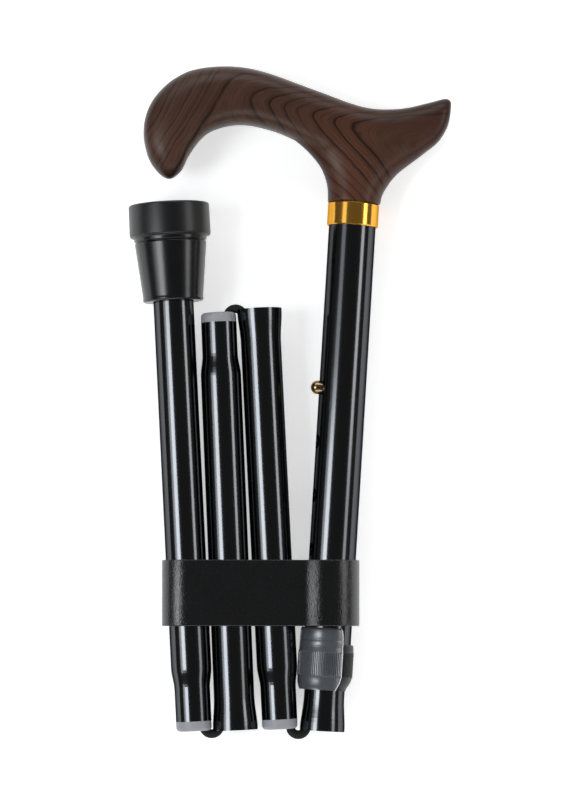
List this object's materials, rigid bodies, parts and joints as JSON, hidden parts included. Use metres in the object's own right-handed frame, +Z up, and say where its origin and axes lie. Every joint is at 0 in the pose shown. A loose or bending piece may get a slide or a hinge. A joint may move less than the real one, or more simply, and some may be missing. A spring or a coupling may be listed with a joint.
{
  "type": "folding cane",
  "caption": "Folding walking cane with a derby handle, snap-button height setting and elastic cord, folded flat and held by a band.",
  "frame": {"origin": "middle of the folded cane's plan, on the surface it lies on", "axes": "+Y towards the handle, +X towards the tail of the grip, +Z up from the surface"},
  "size_m": [0.1517, 0.3169, 0.0384],
  "materials": {
    "wood": "dark brown stained wood, satin lacquer",
    "dowel_wood": "plain beech dowel",
    "gold": "polished brass",
    "black_tube": "gloss black coating",
    "black_plastic": "satin black plastic",
    "grey_plastic": "matte grey plastic",
    "rubber": "matte black rubber",
    "band_rubber": "fine-grained black stretch band",
    "cord": "braided black elastic cord",
    "steel": "plain steel"
  },
  "bodies": {
    "handle_section": {"handle": "wood", "handle_dowel": "dowel_wood", "collar": "gold", "upper_tube": "black_tube", "lock_collet": "black_plastic"},
    "lock_nut": {"lock_nut": "black_plastic", "nut_grip_shell": "grey_plastic"},
    "holder_band": {"holder_band": "band_rubber"},
    "inner_section": {"inner_tube": "black_tube", "inner_end_plug": "black_plastic", "button_spring": "steel", "upper_cord_plug": "grey_plastic", "cord_run_1": "cord", "cord_loop_1": "cord"},
    "snap_button": {"snap_button": "gold"},
    "second_section": {"second_tube": "black_tube", "second_cap": "grey_plastic", "cord_run_2": "cord", "cord_loop_2": "cord"},
    "third_section": {"third_tube": "black_tube", "third_cap": "grey_plastic", "cord_run_3": "cord", "cord_loop_3": "cord"},
    "foot_section": {"foot_tube": "black_tube", "foot_cap": "grey_plastic", "cord_run_4": "cord", "foot_cord_plug": "grey_plastic", "ferrule_washer": "steel", "ferrule": "rubber"}
  },
  "joints": [
    {"name": "height_slide", "type": "slide", "parent": "handle_section", "child": "inner_section", "axis": [-0.0607, -0.9981, 0.0048], "range_m": [0, 0.1016], "deforming": ["snap_button"]},
    {"name": "button_press", "type": "slide", "parent": "inner_section", "child": "snap_button", "axis": [0.9567, -0.0595, -0.2849], "range_m": [0, 0.0058], "stiffness_N_per_m": 1500, "springref_m": -0.002, "deforming": ["button_spring"]},
    {"name": "nut_turn", "type": "hinge", "parent": "handle_section", "child": "lock_nut", "pos_m": [0.0171, -0.12453, 0.01316], "axis": [-0.0607, -0.9981, 0.0048], "range_deg": [0, 180]},
    {"name": "band_slide", "type": "slide", "parent": "handle_section", "child": "holder_band", "axis": [0, -1, 0], "range_m": [0, 0.088], "deforming": ["holder_band"]},
    {"name": "fold_1", "type": "hinge", "parent": "inner_section", "child": "second_section", "pos_m": [0.00548, -0.15293, 0.01409], "axis": [0.0796, 0, 0.9968], "range_deg": [0, 173.65], "deforming": ["cord_loop_1"]},
    {"name": "fold_2", "type": "hinge", "parent": "second_section", "child": "third_section", "pos_m": [-0.0238, 0.04224, 0.01642], "axis": [0.0796, 0, 0.9968], "range_deg": [-179.55, 0], "deforming": ["cord_loop_2"]},
    {"name": "fold_3", "type": "hinge", "parent": "third_section", "child": "foot_section", "pos_m": [-0.03491, -0.15361, 0.01731], "axis": [0.0796, 0, 0.9968], "range_deg": [0, 179.54], "deforming": ["cord_loop_3"]}
  ],
  "couplings": [
    {"joint": "fold_2", "follows": "fold_1", "ratio": -1.0339},
    {"joint": "fold_3", "follows": "fold_1", "ratio": 1.0339}
  ]
}
